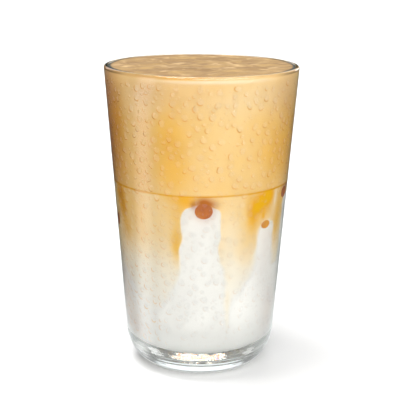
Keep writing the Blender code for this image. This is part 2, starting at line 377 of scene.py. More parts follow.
def coffee_milk_net(azimuth):
    """The milk's top from the axis out, the wall up to the level line, then in."""
    rising = np.linspace(0, 1, COFFEE_ROWS + 1)[1:, None]
    edge = milk_height(azimuth)
    height = edge + (LAYER_HEIGHT - edge) * rising
    wall = around(drink_radius(height), azimuth, height)
    lid = drink_radius(LAYER_HEIGHT) * np.linspace(1, 0, LID_ROWS + 1)[1:, None]
    return np.concatenate([milk_top(azimuth)[::-1], wall, around(lid, azimuth, LAYER_HEIGHT)])


drink_azimuth = drink_columns()
milk_body = net_piece("milk_body", milk_net(drink_azimuth))
coffee_milk_body = net_piece("coffee_milk_body", coffee_milk_net(drink_azimuth))
for piece, node in ((milk_body, "milk"), (coffee_milk_body, "coffee_milk")):
    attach(piece, ROOT)
    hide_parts(node)

# %% [markdown]
# ## The foam
#
# Whipped coffee foam is stiff enough to keep what the spoon did to it: its top has
# long shallow streaks, low ridges where bubbles gathered, and it creeps up a little
# at the glass. The streaks are sine waves whose crests are bent by a slower wave.

# %% Foam
FOAM_HEIGHT = 0.1346
FOAM_COLUMNS = 360
UNDER_ROWS, SIDE_ROWS, UPPER_ROWS = 4, 119, 99
# metres from crest to crest, and phase in radians
BEND, STREAKS, RIPPLES = (0.046, 0.6), (0.0135, 0.8), (0.0098, 2.1)
BEND_REACH = 0.004
RIPPLE_SHARE, RIPPLE_SLANT = 0.5, 0.4
STREAK_DEPTH = 0.00022
STREAKS_END = (0.80, 0.96)  # shares of the top's radius
MENISCUS_RISE = 0.0001
MENISCUS = (0.93, 1.0)  # shares of the top's radius


def waves(across, crest_to_crest, phase):
    """Sine wave over a distance."""
    return np.sin(2 * np.pi * across / crest_to_crest + phase)


def foam_relief(x, y):
    """Bent waves across the top, calm near the glass, plus the small rise at the glass."""
    bend = BEND_REACH * waves(x, *BEND)
    ripples = RIPPLE_SHARE * waves(y - RIPPLE_SLANT * x + bend, *RIPPLES)
    relief = (waves(y + bend, *STREAKS) + ripples) / (1 + RIPPLE_SHARE)
    reach = np.hypot(x, y) / inner_radius(LIP_MIDDLE)
    calm = 1 - smooth(reach, *STREAKS_END)
    return STREAK_DEPTH * relief * calm + MENISCUS_RISE * smooth(reach, *MENISCUS)


def foam_net(azimuth):
    """Lid over the level line, the wall up to the brim, then the streaked top."""
    lid = drink_radius(LAYER_HEIGHT) * np.linspace(0, 1, UNDER_ROWS + 1)[:, None]
    under = around(lid, azimuth, LAYER_HEIGHT)
    side = np.linspace(LAYER_HEIGHT, FOAM_HEIGHT, SIDE_ROWS + 1)[1:, None]
    share = np.linspace(1, 0, UPPER_ROWS + 1)[1:, None]
    radius = share * drink_radius(FOAM_HEIGHT)
    top = around(radius, azimuth, FOAM_HEIGHT)
    top[..., 2] += foam_relief(top[..., 0], top[..., 1])
    return np.concatenate([under, around(drink_radius(side), azimuth, side), top])


foam_azimuth = 2 * np.pi * np.arange(FOAM_COLUMNS)[None] / FOAM_COLUMNS
foam_body = net_piece("foam_body", foam_net(foam_azimuth))
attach(foam_body, ROOT)
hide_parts("foam")

# %% [markdown]
# ## Coffee beads
#
# Drops of strong coffee that sank through the foam hang against the glass, on top of
# the milk's columns. The wall flattens them, so each is an oval on the inside of the
# glass with a dome inwards, and it stands a hair further into the wall than the milk
# around it, so it hides the milk there.

# %% Beads
BEAD_REACH = 0.00026
BEAD_COLUMNS, BEAD_ROWS = 48, 10
SMOOTH_RIM = 80  # degrees: the rim of a bead or a drop of dew is shaded smooth
# azimuth in degrees, then metres: height of the middle, half width, half height, depth
COFFEE_BEADS = (
    (2.1, 0.0784, 0.0037, 0.0033, 0.0026),
    (49.8, 0.0696, 0.0027, 0.0018, 0.0018),
    (-77.6, 0.0676, 0.0024, 0.0028, 0.0020),
    (72.5, 0.0812, 0.0032, 0.0025, 0.0020),
    (152.0, 0.0745, 0.0024, 0.0025, 0.0022),
    (-131.0, 0.0670, 0.0018, 0.0020, 0.0017),
)
BEAD_BROWNS = (0.55, 0.10, 0.60, 0.60, 0.60, 0.50)  # how dark each one is, 0 to 1


def bead_net(azimuth, middle, half_width, half_height, depth):
    """Oval in shares 0 to 1 on the wall, then back in along a dome of that depth.

    A point at share s and angle t is s * half_width across and s * half_height up, and
    the dome is depth * sqrt(1 - s^2) behind the wall.
    """
    angle = 2 * np.pi * np.arange(BEAD_COLUMNS)[None] / BEAD_COLUMNS
    face = np.linspace(0, 1, BEAD_ROWS)[:, None]
    back = np.cos(np.linspace(0, np.pi / 2, BEAD_ROWS)[1:])[:, None]
    share = np.concatenate([face, back])
    inwards = np.concatenate([face * 0, depth * np.sqrt(1 - np.minimum(back, 1) ** 2)])
    height = middle + half_height * share * np.sin(angle)
    side = inner_radius(height) + BEAD_REACH
    turn = np.radians(azimuth) + half_width * share * np.cos(angle) / side
    return around(side - inwards, turn, height)


beads = []
for number, (sizes, brown) in enumerate(zip(COFFEE_BEADS, BEAD_BROWNS), start=1):
    bead = net_piece(f"bead_{number}", bead_net(*sizes), SMOOTH_RIM)
    keep_numbers(bead, "brown", np.full(len(bead.data.vertices), brown))
    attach(bead, ROOT)
    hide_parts(f"coffee_bead_{number}")
    beads.append(bead)

# %% [markdown]
# ## Dew on the glass
#
# The cold glass is covered in dew. Each drop is a very flat lens of water, with an
# outline that is never quite round. A drop bends light away from its lower left rim,
# so a thin crescent of painted shade, a warm tint of the water, lies there. The drops
# show best on the left and in front of the foam, so they stand out furthest there, and
# they are hardly more than a shimmer in front of white milk. They are strewn at random,
# big ones first, and a drop that would touch an earlier one is left out, as in nature
# they would have run together. Big and fine drops are one mesh each, made from one
# small lens by whole arrays. The flat side lies just inside the wall, so no film of air shows.

# %% Where the drops are
DEW_TRIES = 13000
DEW_RADII = (0.00042, 0.00165)
DEW_SKEW = 1.35  # above 1, most drops are small
BIG_DROP = 0.00078  # from this radius on, a drop has more sides
DEW_ROOM = 1.06  # least distance between drops, in sums of their radii
DEW_HEIGHTS = (0.0165, 0.1305)
DEW_SINK = 0.00003
DEW_ON_RIGHT, DEW_LOW_DOWN = 0.45, 0.55  # share of the drops that is kept there


def strewn(rng):
    """Azimuth, height and radius of drops that keep clear of each other.

    Radii are least + (greatest - least) * chance^skew, the greatest first. A drop is
    likelier on the left than on the right, and rarer low down.
    """
    least, greatest = DEW_RADII
    radius = np.sort(least + (greatest - least) * rng.random(DEW_TRIES) ** DEW_SKEW)[::-1]
    azimuth = rng.uniform(-np.pi, np.pi, DEW_TRIES)
    height = rng.uniform(*DEW_HEIGHTS, DEW_TRIES)
    wish = DEW_ON_RIGHT + (1 - DEW_ON_RIGHT) * smooth(-np.sin(azimuth), 0.1, 0.6)
    wish = wish * (DEW_LOW_DOWN + (1 - DEW_LOW_DOWN) * smooth(height, 0.020, 0.050))
    places = [np.zeros(0)] * 3
    for k in np.flatnonzero(rng.random(DEW_TRIES) < wish):
        across = ((places[0] - azimuth[k] + np.pi) % (2 * np.pi) - np.pi) * outer_radius(height[k])
        far = np.hypot(across, places[1] - height[k])
        if not (far < DEW_ROOM * (places[2] + radius[k])).any():
            places = [np.append(old, new[k]) for old, new in zip(places, (azimuth, height, radius))]
    return np.array(places)


# how plainly a drop shows in front of milk, and how much more in front of foam
SHOWS_LEFT, SHOWS_RIGHT = (0.50, 0.42), (0.12, 0.30)


def dew_strength(azimuth, height):
    """How plainly a drop shows: an S from its strength on the right to that on the left."""
    left = smooth(-np.sin(azimuth), 0.2, 0.7)
    foam_behind = smooth(height, 0.080, 0.090)
    most, least = (plain + more * foam_behind for plain, more in (SHOWS_LEFT, SHOWS_RIGHT))
    return left * most + (1 - left) * least


# %% Drops as meshes
CRESCENT_TOWARDS = np.radians(222)  # from the drop's right, anticlockwise
BIG_SIDES, FINE_SIDES = 12, 8
OVAL, CORNERED, LEANING = 0.12, 0.07, 0.40  # how far outlines and crescents vary
RISE, RISE_WHERE_PLAIN = 0.25, 0.35  # shares of the lens's rise, the second where drops show
# share of the radius, rise as a share of the radius, and painted shade of each ring of a drop
BIG_LENS = ((0, 0.15, 0), (0.66, 0.095, 0), (0.80, 0.062, 1), (0.93, 0.024, 1), (1, 0, 0), (0, 0, 0))
FINE_LENS = ((0, 0.15, 0), (0.55, 0.11, 0), (0.80, 0.06, 1), (1, 0, 0), (0, 0, 0))


def dew_piece(name, sides, rings, places, rng):
    """All drops as one piece, with the strength of their crescents of painted shade as an attribute.

    The outline is radius * (1 + a cos 2(t - p) + b cos 3(t - q)) with chance a, b, p, q.
    The crescent is an S of the cosine to its middle, on the ring just inside the rim.
    """
    azimuth, height, radius = places[:, :, None]
    turn = 2 * np.pi * np.arange(sides)[None] / sides
    unit = np.stack(np.broadcast_arrays(turn, *np.array(rings, float).T[:, :, None]), -1)
    turn, share, rise, shade = net_points(unit).T[:, None]
    count = len(radius)
    two, three, lean = rng.normal(0, (OVAL, CORNERED, LEANING), (count, 3)).T[..., None]
    p, q = rng.uniform(0, 2 * np.pi, (2, count, 1))
    outline = 1 + two * np.cos(2 * (turn - p)) + three * np.cos(3 * (turn - q))
    across, up = (radius * share * outline * part for part in (np.cos(turn), np.sin(turn)))
    strength = dew_strength(azimuth, height)
    swell = RISE + RISE_WHERE_PLAIN * strength * smooth(height, 0.070, 0.095)
    out = radius * rise * rng.uniform(0.5, 1.0, (count, 1)) * swell - DEW_SINK
    side = outer_radius(height + up) + out
    points = around(side, azimuth + across / side, height + up)
    shift = turn.shape[1] * np.arange(count)[:, None, None]
    faces = [(group[None] + shift).reshape(-1, group.shape[1]) for group in net_faces(*unit.shape[:2])]
    piece = new_piece(name, points.reshape(-1, 3), faces, SMOOTH_RIM)
    depth = shade * smooth(np.cos(turn - CRESCENT_TOWARDS - lean), 0.1, 0.8)
    keep_numbers(piece, "shade", depth * rng.uniform(0.35, 1.0, (count, 1)) * strength)
    return piece


dew_chance = np.random.default_rng(11)
drops = strewn(dew_chance)
big = drops[2] > BIG_DROP
dew = dew_piece("dew", BIG_SIDES, BIG_LENS, drops[:, big], dew_chance)
fine_dew = dew_piece("fine_dew", FINE_SIDES, FINE_LENS, drops[:, ~big], dew_chance)
print(big.sum(), "big drops and", (~big).sum(), "fine ones")
for piece in (dew, fine_dew):
    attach(piece, ROOT)

# %% [markdown]
# ## How much coffee is where
#
# The colour of the drink is one story told in numbers: how much coffee is mixed in at
# each place. 0 is plain milk, 1 is milky foam, 2 is the deep yellow of coffee that has
# only just run in. It is worked out at each vertex from its azimuth and height, and
# stored as an attribute that the finish reads. A second number says where the coffee
# is roasted brown. Both bodies of milk read the same fields, so the blend between them
# is soft, as it is in the glass: crisp along the front column, up to two and a half
# times softer elsewhere, and softer low down. Broad thin tints in the white milk are
# painted shade: greyer in front above the foot, darker low at its sides, and darker on
# its back, which the foot shows. Painting by hand would also do, but it could not be
# changed by changing one number.

# %% Stains and wandering edges
def wander(azimuth, height, seed, reach, waves=9, rise=0.02):
    """Smooth chance between about -1 and 1: a sum of waves round and up the glass.

    reach is the greatest number of waves round the glass, and rise the shortest wave
    up it, in metres.
    """
    rng = np.random.default_rng(seed)
    total = np.zeros(np.broadcast(azimuth, height).shape)
    for _ in range(waves):
        turns = rng.integers(-reach, reach + 1)
        climb = 2 * np.pi * height / rng.uniform(rise, 4 * rise)
        total += np.sin(turns * azimuth + climb + rng.uniform(0, 2 * np.pi))
    return total / np.sqrt(waves)


def stained(azimuth, height, stains):
    """Sum of soft round stains: amount * exp(-(away/half width)^2 - (up/half height)^2).

    A stain is azimuth, height, half width in degrees, half height, amount. Heights
    are in millimetres.
    """
    total = np.zeros(np.broadcast(azimuth, height).shape)
    for middle, level, half_width, half_height, amount in stains:
        away = apart(azimuth, middle) / half_width
        up = (height * 1000 - level) / half_height
        total += amount * np.exp(-(away**2) - up**2)
    return total


# %% Edge of the white milk
# heights in millimetres with the azimuths of the left and right edge there, in degrees
FRONT_COLUMN = (
    (0, 20, 28, 34, 38, 43, 47, 52, 56, 60, 64, 67, 70, 74, 76.5, 77.8, 79, 79.8, 80.4),
    (-60, -45, -33, -28, -22, -19, -14, -14.5, -15, -14, -13.2, -12.4, -12.8, -13, -13, -12.4, -11, -9.4, -5),
    (60, 45, 17, 15.5, 16.5, 19, 18, 16, 14, 12.5, 12.4, 13.3, 13.5, 13.6, 13.3, 12.7, 11.2, 8.8, 4),
)
RIGHT_COLUMN = (
    (0, 44, 50, 58, 65, 68, 70, 71),
    (30, 38, 41, 42, 42.5, 43.5, 46, 52),
    (75, 70, 62, 60, 59.5, 59, 57.5, 54),
)
RIGHT_HILL = (
    (0, 14, 22, 30, 36, 41, 45, 48.5, 49.5),
    (10, 20, 21.5, 23, 26, 31, 36, 44, 60),
    (150, 130, 120, 112, 108, 104, 100, 94, 60),
)
LEFT_HILL = (
    (0, 18, 25, 33.5, 42, 44, 45.5),
    (-115, -112, -108, -104, -98, -90, -70),
    (-35, -43, -47, -53, -59, -66, -70),
)
RIGHT_EDGE_COLUMN = (
    (0, 40, 60, 76, 79.5, 80.5),
    (72, 74, 73, 72, 75, 80),
    (110, 108, 96, 90, 86, 80),
)
BACK_COLUMN = (
    (0, 20, 30, 45, 55, 75, 77),
    (120, 130, 138, 144, 149, 150, 158),
    (196, 186, 178, 172, 167, 166, 158),
)
BACK_LEFT_COLUMN = (
    (0, 20, 30, 45, 52, 67, 69),
    (-180, -172, -160, -150, -136, -135, -128),
    (-96, -104, -112, -118, -120, -121, -128),
)
# each outline, and how many times softer its edge is than the front column's
MILK_OUTLINES = (
    (FRONT_COLUMN, 1.0), (RIGHT_COLUMN, 2.6), (RIGHT_HILL, 1.5), (LEFT_HILL, 1.5),
    (RIGHT_EDGE_COLUMN, 2.0), (BACK_COLUMN, 1.0), (BACK_LEFT_COLUMN, 1.0),
)
STRAY = 0.0004  # how far the edge wanders, in metres
CRISPEST, SOFTEST = 0.0006, 0.0040  # half the blend's width high up and low down
CRISP_HEIGHTS = (0.030, 0.062)  # the blend gets crisp between these
TOP_BLEND = 0.0002


def whiteness(azimuth, height):
    """1 well inside the white milk and 0 well outside: distance inside its edge over softness.

    The distance is along the wall, to the nearer side edge, and the edge wanders a bit.
    """
    level = height * 1000
    white = np.zeros(np.broadcast(azimuth, height).shape)
    arc = np.radians(1) * drink_radius(height)
    stray = STRAY * wander(azimuth, height, 5, 40, rise=0.006)
    crisp = CRISPEST + (SOFTEST - CRISPEST) * (1 - smooth(height, *CRISP_HEIGHTS))
    for (levels, left, right), softer in MILK_OUTLINES:
        soft = np.minimum(crisp * softer, SOFTEST)
        low, high = np.interp(level, levels, left), np.interp(level, levels, right)
        middle, half = (low + high) / 2, (high - low) / 2
        inside = (half - apart(azimuth, middle)) * arc
        inside = np.minimum(inside, (levels[-1] - level) / 1000 + TOP_BLEND)
        white = np.maximum(white, smooth(inside + stray, -soft, soft))
    return white


# %% Stains in the drink
COFFEE_STAINS = (
    (-16.5, 63, 3.6, 6.5, 0.8),  # rim of the front column
    (-14, 76, 6, 8, 0.3),
    (-9, 83, 7, 3.2, 0.75),  # where the foam drips
    (-18, 85, 7, 3, 0.35),
    (50, 82.5, 5.5, 3.4, 2.0),  # the mustard run
    (42.5, 79.3, 5, 3.8, 1.7),
    (37.5, 74.5, 4.8, 6, 0.95),
    (49, 77, 5, 4, 0.4),
    (46.8, 73.8, 1.4, 1.5, 0.7),
    (33, 83, 3, 5, 0.2),
    (58.5, 81, 2.6, 4.5, -0.55),  # a pale streak beside it
    (66, 77, 5.5, 9, 0.45),
    (63, 68, 4.5, 7, 0.5),
    (-67.5, 81.5, 6, 5.5, 1.3),  # the brown run on the left
    (-64, 74.5, 5, 5, 0.75),
    (-60.5, 66, 5, 5.5, 0.35),
    (-60, 72, 14, 14, 0.16),
    (-35, 74, 6, 14, -0.2),
    (20, 72, 9, 14, -0.22),
    (32, 60, 6, 7, 0.1),
    (120, 78, 14, 9, 0.7),
    (-110, 74, 8, 12, 0.6),
    (-165, 80, 12, 7, 0.9),
    # painted shade: coffee on the back of the milk, which the foot shows darker
    (178, 38, 10, 16, 0.3),
)
ROAST_STAINS = (
    (-67, 81.5, 4.5, 5, 0.6),
    (-63.5, 74.5, 4, 4.5, 0.28),
    (-61, 65.5, 4, 5, 0.15),
    (76, 84.5, 8, 3, 0.8),
    (1.5, 82, 5, 2.1, 0.95),  # the haze over the great bead
    (8, 81.4, 4.2, 1.9, 0.5),
    (-5, 81, 1.8, 1.6, 0.55),
    (4, 84, 6, 1.3, 0.22),
    (2.1, 78.2, 5.9, 3.7, 0.62),
    (-74, 70.5, 3.5, 2.5, 0.5),
    (152, 78, 5, 2, 0.5),
)
# painted shade in the white milk, low at its sides and on its back where the foot shows it: as thin coffee,
# and how brown it is there
MILK_SHADE_TINTS = (
    (-74, 34, 17, 24, 0.17),
    (-52, 24, 12, 10, 0.09),
    (52, 56, 13, 20, 0.07),
    (64, 27, 13, 13, 0.12),
)
MILK_PAINTED_SHADES = (
    (-76, 36, 15, 18, 0.17),
    (-62, 20, 12, 8, 0.13),
    (54, 60, 12, 18, 0.06),
    (66, 27, 12, 12, 0.13),
    (180, 34, 14, 16, 0.24),
)

# %% Coffee and roast in the drink
# heights in millimetres, and the share of coffee there
COFFEE_BY_HEIGHT = (
    (12, 22, 32, 40, 46, 52, 57, 62, 67, 80),
    (0, 0.05, 0.12, 0.20, 0.27, 0.38, 0.52, 0.68, 0.80, 0.90),
)
LINE_HALF_HEIGHT = 0.00034
LINE_COFFEE, LINE_ROAST = 1.1, 0.30
LINE_EVEN, LINE_SIDES, LINE_WANDERS = 0.50, 0.60, 0.25
# the thin streak beside the front column's foot: degrees at a height, degrees for each metre down
STREAK_AZIMUTH, STREAK_HEIGHT, STREAK_LEAN = 19.5, 0.045, 90
STREAK_HALF_WIDTH, STREAK_COFFEE = 2.2, 0.16
STREAK_BEGINS, STREAK_ENDS = (0.016, 0.026), (0.040, 0.052)
# painted shade and light: the white milk is a shade greyer in front, fading out 16 to 34 degrees from the
# middle, and the tints fade in above the foot, which is left whitest
FRONT_PAINTED_SHADE, FRONT_PAINTED_SHADE_ENDS = 0.10, (16, 34)  # degrees from the middle of the front
PAINTED_SHADE_BEGINS = (0.010, 0.026)
COFFEE_VARIES = 0.10


def layer_line(azimuth, height):
    """Thin line where the foam sits on the drink, stronger in places."""
    near = np.exp(-(((height - LAYER_HEIGHT) / LINE_HALF_HEIGHT) ** 2))
    sides = smooth(np.abs(np.sin(azimuth)), 0.45, 0.85)
    uneven = LINE_SIDES * sides + LINE_WANDERS * wander(azimuth, height * 0, 12, 14)
    return near * (LINE_EVEN + uneven)


def coffee_share(azimuth, height):
    """Coffee in the drink: fades down the wall, richer in stains; in white milk, thin tints of painted shade.
    """
    share = np.interp(height * 1000, *COFFEE_BY_HEIGHT)
    share = share * (1 + COFFEE_VARIES * wander(azimuth, height, 3, 9))
    share = share + stained(azimuth, height, COFFEE_STAINS)
    share = np.maximum(share, 0) * (1 - whiteness(azimuth, height))
    course = STREAK_AZIMUTH + STREAK_LEAN * (STREAK_HEIGHT - height)
    streak = STREAK_COFFEE * np.exp(-((apart(azimuth, course) / STREAK_HALF_WIDTH) ** 2))
    share += streak * smooth(height, *STREAK_BEGINS) * (1 - smooth(height, *STREAK_ENDS))
    front = FRONT_PAINTED_SHADE * (1 - smooth(apart(azimuth, 0), *FRONT_PAINTED_SHADE_ENDS))
    thin = np.maximum(front, stained(azimuth, height, MILK_SHADE_TINTS))
    share = np.maximum(share, thin * smooth(height, *PAINTED_SHADE_BEGINS))
    return share + LINE_COFFEE * layer_line(azimuth, height)


def roast_share(azimuth, height):
    """Brown haze over each bead, the dark runs at the sides, and painted shade in the milk."""
    roast = stained(azimuth, height, ROAST_STAINS) + stained(azimuth, height, MILK_PAINTED_SHADES)
    return np.clip(roast + LINE_ROAST * layer_line(azimuth, height), 0, 1)


# %% Stains in the foam
FOAM_STAINS = (
    (-19, 106, 9, 16, 0.42),
    (-14, 92, 12, 10, 0.22),
    (20, 124, 34, 7, -0.16),
    (3, 132.8, 34, 1, -0.4),  # pale band under the rim
    (-12, 133.9, 12, 0.5, 0.55),
    (0, 133.9, 60, 0.5, 0.15),
    (15, 110, 12, 18, -0.06),
    (50, 103, 14, 15, 0.28),
    (68, 108, 12, 18, 0.35),
    (-45, 100, 10, 30, 0.1),
    (-67, 108, 10, 22, 0.5),
    (-59, 109, 6, 24, 0.2),
    (-72, 127, 13, 9, -0.2),
    (-42, 127, 13, 8, -0.16),
    (62, 129, 22, 7, -0.12),
    (160, 112, 25, 14, 0.22),
    (-130, 100, 20, 12, 0.2),
)
FOAM_ROAST = (
    # the far left side is partly painted shade, where the foam turns from the light
    (-79, 106, 19, 32, 0.8),
    (-59, 110, 6, 26, 0.1),
    (-72, 127, 13, 9, 0.22),
    (-35, 130, 22, 9, 0.17),
    (-35, 106, 7, 22, 0.08),
    (0, 130, 30, 9, 0.14),
    (62, 128, 22, 12, 0.24),
    (84, 100, 16, 20, 0.35),
    (150, 96, 18, 12, 0.15),
)

# %% Coffee and roast in the foam
FOAM_COFFEE, FOAM_VARIES = 0.98, 0.05
PALE_TOP, PALE_HEIGHTS = 0.10, (0.112, 0.130)
# painted shade: a browner band all round just under the lip
LIP_SHADE_BAND, LIP_SHADE_BAND_HEIGHTS = 0.14, (0.1331, 0.1337)
# painted reflection of the dark room in the lip, at its two ends: azimuth in degrees, degrees from it where
# the dark begins to fade and where it ends, amount
LIP_SHADES = ((-86, 18, 42, 0.95), (88, 18, 42, 0.95))
RING_SHADES = ((-90, 15, 65, 0.95), (90, 12, 60, 0.92))
LIP_SHADE_HEIGHTS = (0.1333, 0.1339)
RING_WIDTH = (0.0009, 0.0016)
CRUST_FROM = FOAM_HEIGHT - 0.0003


def foam_share(azimuth, height):
    """Foam: even, with soft stains, paler under the rim, and richer on the line under it."""
    share = FOAM_COFFEE + FOAM_VARIES * wander(azimuth, height, 8, 7, rise=0.03)
    share = share + stained(azimuth, height, FOAM_STAINS) - PALE_TOP * smooth(height, *PALE_HEIGHTS)
    return share + LINE_COFFEE * layer_line(azimuth, height)


def foam_roast(azimuth, height):
    """Foam is browner at the two sides, on the left partly as painted shade, and in a band of painted shade
    just under the lip.
    """
    roast = stained(azimuth, height, FOAM_ROAST) + LIP_SHADE_BAND * smooth(height, *LIP_SHADE_BAND_HEIGHTS)
    return np.clip(roast + LINE_ROAST * layer_line(azimuth, height), 0, 1)


def at_ends(azimuth, shades):
    """Dark patches round the glass: each is its amount, and fades with the angle from its middle."""
    patches = [
        amount * (1 - smooth(apart(azimuth, middle), full, none)) for middle, full, none, amount in shades
    ]
    return np.max(patches, axis=0)


def point_places(piece):
    """Azimuth, height and distance from the axis of each of the piece's points."""
    points = np.empty(len(piece.data.vertices) * 3, np.float32)
    piece.data.vertices.foreach_get("co", points)
    x, y, z = points.reshape(-1, 3).astype(float).T
    return np.arctan2(x, -y), z, np.hypot(x, y)


# %% Numbers for the finishes
for piece in (milk_body, coffee_milk_body):
    azimuth, height, _ = point_places(piece)
    keep_numbers(piece, "coffee", coffee_share(azimuth, height))
    keep_numbers(piece, "roast", roast_share(azimuth, height))
azimuth, height, reach = point_places(foam_body)
inset = drink_radius(FOAM_HEIGHT) - reach
keep_numbers(foam_body, "coffee", foam_share(azimuth, height))
keep_numbers(foam_body, "roast", foam_roast(azimuth, height))
keep_numbers(foam_body, "dark", at_ends(azimuth, LIP_SHADES) * smooth(height, *LIP_SHADE_HEIGHTS))
keep_numbers(foam_body, "crust", height > CRUST_FROM)
keep_numbers(foam_body, "ring", at_ends(azimuth, RING_SHADES) * (1 - smooth(inset, *RING_WIDTH)))

# %% [markdown]
# ## Small tools for finishes
#
# A finish is a little graph of nodes. One function adds a node with its settings and
# its inputs, so each finish below reads as a list of what it is made of. Colours are
# written as on a paint chart, in sRGB hex, and turned to linear light in one place.

# %% Material helpers
def linear(code):
    """sRGB hex to linear red, green, blue and 1: the standard curve of powers of 2.4."""
    parts = [int(code[k : k + 2], 16) / 255 for k in (1, 3, 5)]
    light = [part / 12.92 if part <= 0.04045 else ((part + 0.055) / 1.055) ** 2.4 for part in parts]
    return (*light, 1.0)


def feed(tree, node, inputs):
    """Set inputs, found by name or number, to a node's socket, a hex colour or a plain value."""
    for name, value in inputs.items():
        if isinstance(value, bpy.types.NodeSocket):
            tree.links.new(value, node.inputs[name])
        else:
            node.inputs[name].default_value = linear(value) if isinstance(value, str) else value


def add(tree, kind, settings=None, inputs=None):
    """Shader node of that kind. The setting stops fills a ramp with places and hex colours.

    A new ramp has two stops.
    """
    node = tree.nodes.new("ShaderNode" + kind)
    settings = dict(settings or {})
    stops = settings.pop("stops", ())
    for _ in stops[2:]:
        node.color_ramp.elements.new(0.5)
    for number, (place, code) in enumerate(stops):
        node.color_ramp.elements[number].position = place
        node.color_ramp.elements[number].color = linear(code)
    for name, value in settings.items():
        setattr(node, name, value)
    feed(tree, node, inputs or {})
    return node


def new_material(name):
    """Material with its node tree and Principled shader."""
    material = bpy.data.materials.new(name)
    material.use_nodes = True
    return material, material.node_tree, material.node_tree.nodes["Principled BSDF"]


def set_finish(piece, material):
    """The material in the piece's only slot."""
    piece.data.materials.clear()
    piece.data.materials.append(material)
    print(piece.name, "is made of", material.name)


# %% [markdown]
# ## Clear glass and water
#
# Soda-lime glass bends light by 1.52. Its iron takes out a little red on long ways, so
# only the heavy foot looks faintly sea green: that is absorption in the body of the
# glass, and not a colour on its surface. Water bends light by 1.33. Both are smooth
# enough to be perfect mirrors at a slant, so they need the right index and no
# roughness. The drops' crescents are painted shade, a warm tint of the water.

# %% Glass and water
GLASS_DENSITY = 4.5  # per metre
GLASS_TINT = "#D8F0F6"
DROP_SHADE_TINTS = ((0.0, "#FFFFFF"), (0.35, "#F8B860"), (1.0, "#7E3408"))


def clear_finish(name, tint, bend):
    """Transparent body: full transmission, smooth, of that index."""
    material, tree, shader = new_material(name)
    feed(tree, shader, {"Base Color": tint, "Roughness": 0.0, "IOR": bend, "Transmission Weight": 1.0})
    return material, tree, shader


glass_finish, glass_tree, _ = clear_finish("soda_lime_glass", "#FBFDFC", 1.52)
iron = add(glass_tree, "VolumeAbsorption", inputs={"Color": GLASS_TINT, "Density": GLASS_DENSITY})
feed(glass_tree, glass_tree.nodes["Material Output"], {"Volume": iron.outputs["Volume"]})
set_finish(glass, glass_finish)
water, water_tree, water_shader = clear_finish("dew_water", "#FFFFFF", 1.333)
shade = add(water_tree, "Attribute", {"attribute_name": "shade"}).outputs["Fac"]
drop_shade = add(water_tree, "ValToRGB", {"stops": DROP_SHADE_TINTS}, {"Fac": shade})
feed(water_tree, water_shader, {"Base Color": drop_shade.outputs["Color"]})
for piece in (dew, fine_dew):
    set_finish(piece, water)

# %% [markdown]
# ## The drink
#
# Milk is white because it is full of tiny fat drops that scatter light, and coffee
# takes out the blue first and then the green. So the more coffee, the further the
# colour runs from white through cream and peach to yellow-orange. The ramp holds those
# steps, and the roast lays its brown over them. Fine noise breaks up the edges, the way
# two liquids curl into each other. Behind glass a drink has hardly a gloss of its own.

# %% Milk and coffee
COFFEE_FULL = 2.5  # the share at the ramp's end
COFFEE_STEPS = (
    # the first step is whiter than the next: painted light on the white milk's foot and sides, where no
    # painted shade tints it
    (0.00, "#FBF8F3"), (0.04, "#F0EDE8"), (0.12, "#F3EAD9"), (0.20, "#F5E2C0"), (0.30, "#F3D6A0"),
    (0.40, "#F2CD88"), (0.50, "#F1C36A"), (0.62, "#F1BA4E"), (0.80, "#F0B224"), (1.00, "#F1B804"),
)
ROAST_BROWN = "#B8681A"
MILK_SWIRL, FOAM_SWIRL = 0.012, 0.016  # metres across
LEAST_CURL, MOST_CURL = 0.93, 1.07  # what the noise makes of a share of coffee
NOISE_RANGE = {"From Min": 0.3, "From Max": 0.7}  # where most of a noise's values lie


def layered(tree, colour, *layers):
    """A colour with others laid over it: each layer is its share, 0 to 1, and its colour."""
    for share, over in layers:
        inputs = {"Factor": share, 6: colour, 7: over}
        colour = add(tree, "Mix", {"data_type": "RGBA"}, inputs).outputs[2]
    return colour


def drink_colour(tree, place, swirl):
    """Coffee share through the colour steps, curled by noise, then browned by the roast."""
    coffee = add(tree, "Attribute", {"attribute_name": "coffee"}).outputs["Fac"]
    roast = add(tree, "Attribute", {"attribute_name": "roast"}).outputs["Fac"]
    curls = add(tree, "TexNoise", inputs={
        "Vector": place, "Scale": 1 / swirl, "Detail": 3.0, "Roughness": 0.55, "Distortion": 0.6,
    })
    lean = add(tree, "MapRange", inputs={
        "Value": curls.outputs["Fac"], **NOISE_RANGE,
        "To Min": LEAST_CURL / COFFEE_FULL, "To Max": MOST_CURL / COFFEE_FULL,
    })
    share = add(tree, "Math", {"operation": "MULTIPLY"}, {0: coffee, 1: lean.outputs["Result"]})
    steps = add(tree, "ValToRGB", {"stops": COFFEE_STEPS}, {"Fac": share.outputs["Value"]})
    return layered(tree, steps.outputs["Color"], (roast, ROAST_BROWN))


milk_finish, milk_tree, milk_shader = new_material("milk_and_coffee")
milk_place = add(milk_tree, "TexCoord").outputs["Object"]
milk_colour = drink_colour(milk_tree, milk_place, MILK_SWIRL)
feed(milk_tree, milk_shader, {"Base Color": milk_colour, "Roughness": 0.5, "Specular IOR Level": 0.2})
set_finish(milk_body, milk_finish)
set_finish(coffee_milk_body, milk_finish)

# %% [markdown]
# ## The foam's finish
#
# From the side the foam is even milky coffee. Its open top has dried to a dull brown
# crust in clouds, with pale flecks where bubbles have burst. At the left and the right
# the round lip of a real glass mirrors the dark room along the crust's edge, far too
# thin for this small picture, so a dark ring is laid on the crust there instead, and a
# dark edge under the lip. Bubbles under a millimetre across give both a fine grain.

